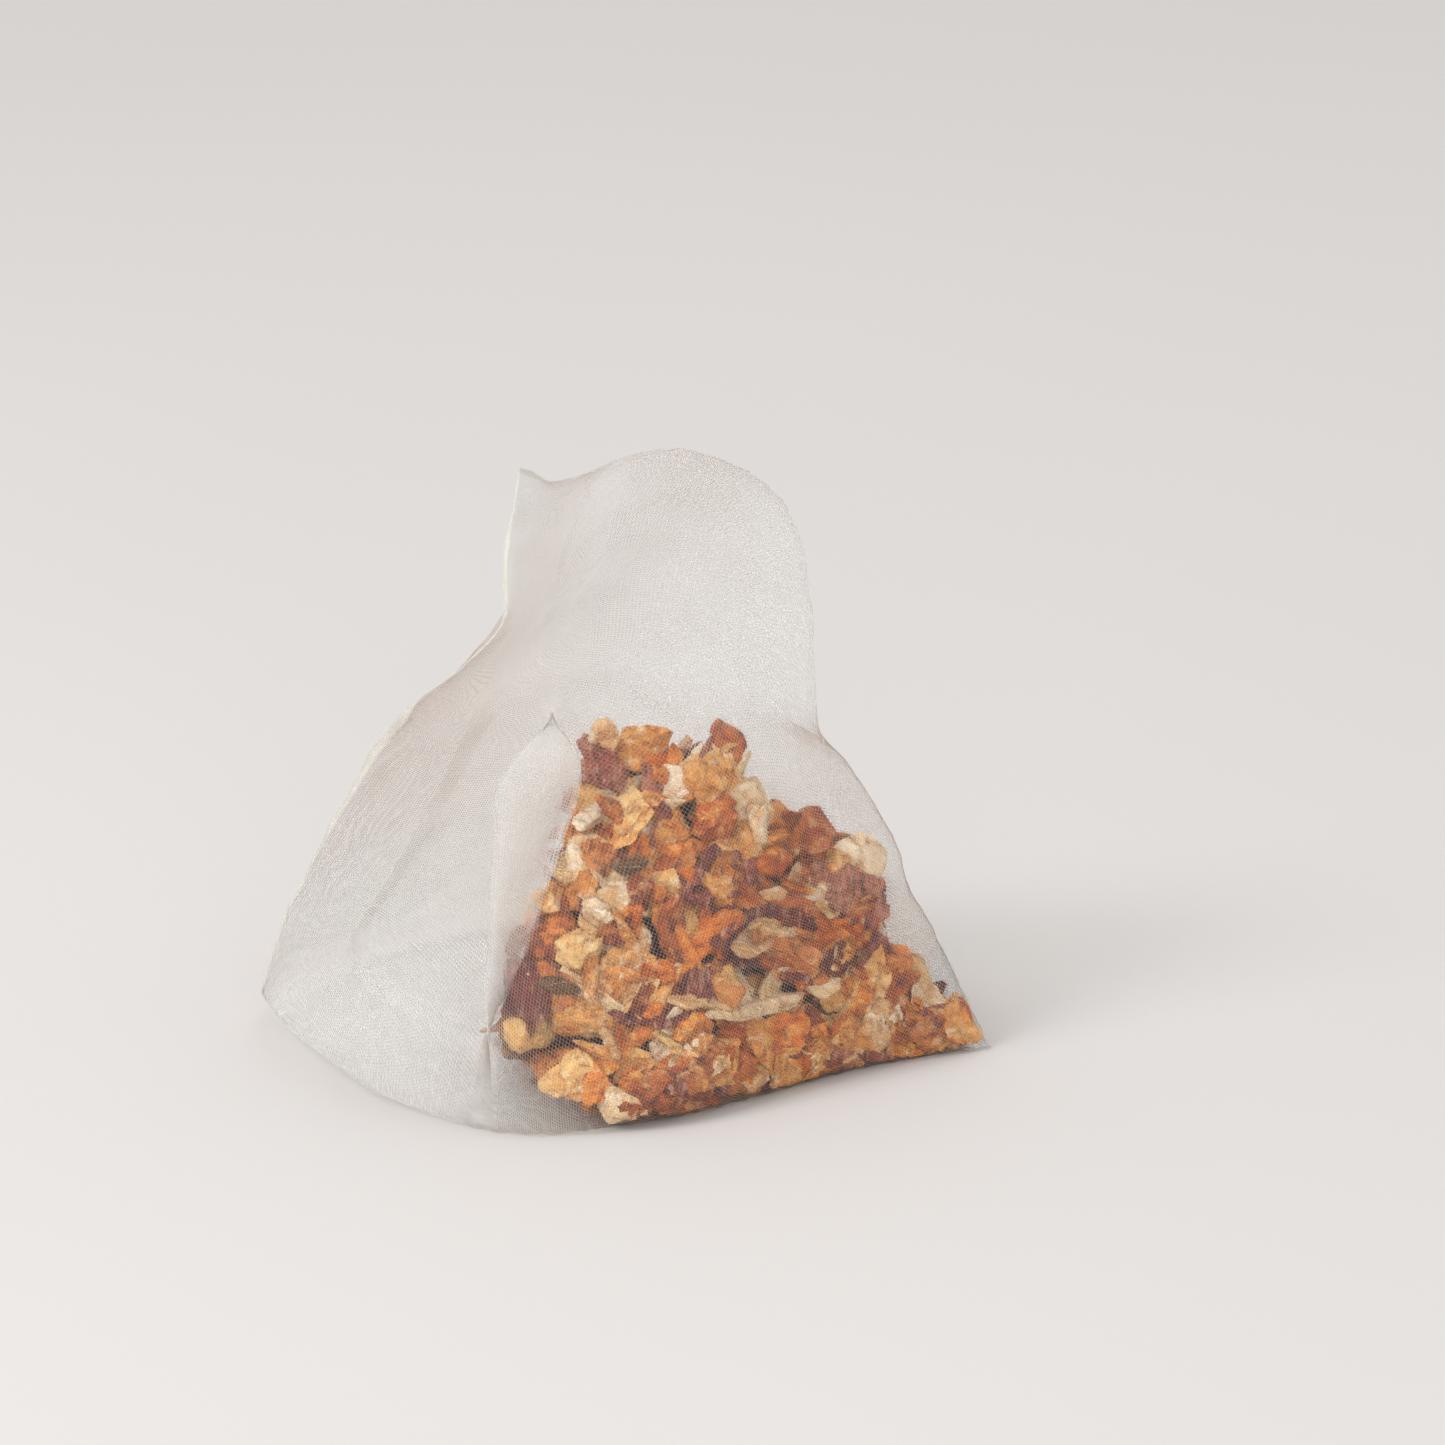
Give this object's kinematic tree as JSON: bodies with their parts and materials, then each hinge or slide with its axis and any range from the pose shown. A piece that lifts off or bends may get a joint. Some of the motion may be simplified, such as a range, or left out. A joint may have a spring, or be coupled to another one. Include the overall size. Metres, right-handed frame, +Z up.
{
  "type": "pyramid tea bag",
  "caption": "Pyramid tea bag of fine see-through woven mesh, welded along crossed seams, pleated at the front, filled with chopped dried fruit.",
  "frame": {"origin": "centre of the bag's width and depth, on the table it lies on", "axes": "+Z up, +X to the right as the front is seen, along the longest side, -Y towards the viewer"},
  "size_m": [0.0664, 0.053, 0.0558],
  "materials": {
    "mesh_cloth": "glossy see-through woven filament",
    "apple_flesh": "matt dried apple",
    "orange_flesh": "satin dried orange and carrot",
    "pale_peel": "matt pale peel",
    "hibiscus": "matt dried petal",
    "rosehip": "matt dried shell",
    "seed_coat": "satin seed",
    "dried_fruit": "matt chopped dried fruit"
  },
  "bodies": {
    "root": {"apple_dice_01": "apple_flesh", "apple_dice_02": "apple_flesh", "apple_dice_03": "apple_flesh", "apple_dice_04": "apple_flesh", "apple_dice_05": "apple_flesh", "apple_slab_01": "apple_flesh", "apple_slab_02": "apple_flesh", "apple_slab_03": "apple_flesh", "apple_slab_04": "apple_flesh", "apple_slab_05": "apple_flesh", "fruit_heap": "dried_fruit", "hibiscus_petal_01": "hibiscus", "hibiscus_petal_02": "hibiscus", "hibiscus_petal_03": "hibiscus", "hibiscus_petal_04": "hibiscus", "hibiscus_petal_05": "hibiscus", "hibiscus_petal_06": "hibiscus", "hibiscus_petal_07": "hibiscus", "mesh_bag": "mesh_cloth", "orange_peel_01": "orange_flesh", "orange_peel_02": "orange_flesh", "orange_peel_03": "orange_flesh", "orange_peel_04": "orange_flesh", "orange_peel_05": "orange_flesh", "orange_peel_06": "orange_flesh", "orange_peel_07": "orange_flesh", "orange_peel_08": "orange_flesh", "orange_peel_09": "orange_flesh", "orange_peel_10": "orange_flesh", "orange_peel_11": "orange_flesh", "orange_peel_12": "orange_flesh", "orange_peel_13": "orange_flesh", "orange_peel_14": "orange_flesh", "peel_strip_01": "pale_peel", "peel_strip_02": "pale_peel", "peel_strip_03": "pale_peel", "peel_strip_04": "pale_peel", "peel_strip_05": "pale_peel", "peel_strip_06": "pale_peel", "peel_strip_07": "pale_peel", "peel_strip_08": "pale_peel", "peel_strip_09": "pale_peel", "peel_strip_10": "pale_peel", "peel_strip_11": "pale_peel", "peel_strip_12": "pale_peel", "peel_strip_13": "pale_peel", "rosehip_chunk_01": "rosehip", "rosehip_chunk_02": "rosehip", "rosehip_chunk_03": "rosehip", "rosehip_chunk_04": "rosehip", "rosehip_chunk_05": "rosehip", "rosehip_chunk_06": "rosehip", "rosehip_chunk_07": "rosehip", "seed_01": "seed_coat", "seed_02": "seed_coat", "seed_03": "seed_coat", "seed_04": "seed_coat"}
  },
  "joints": []
}
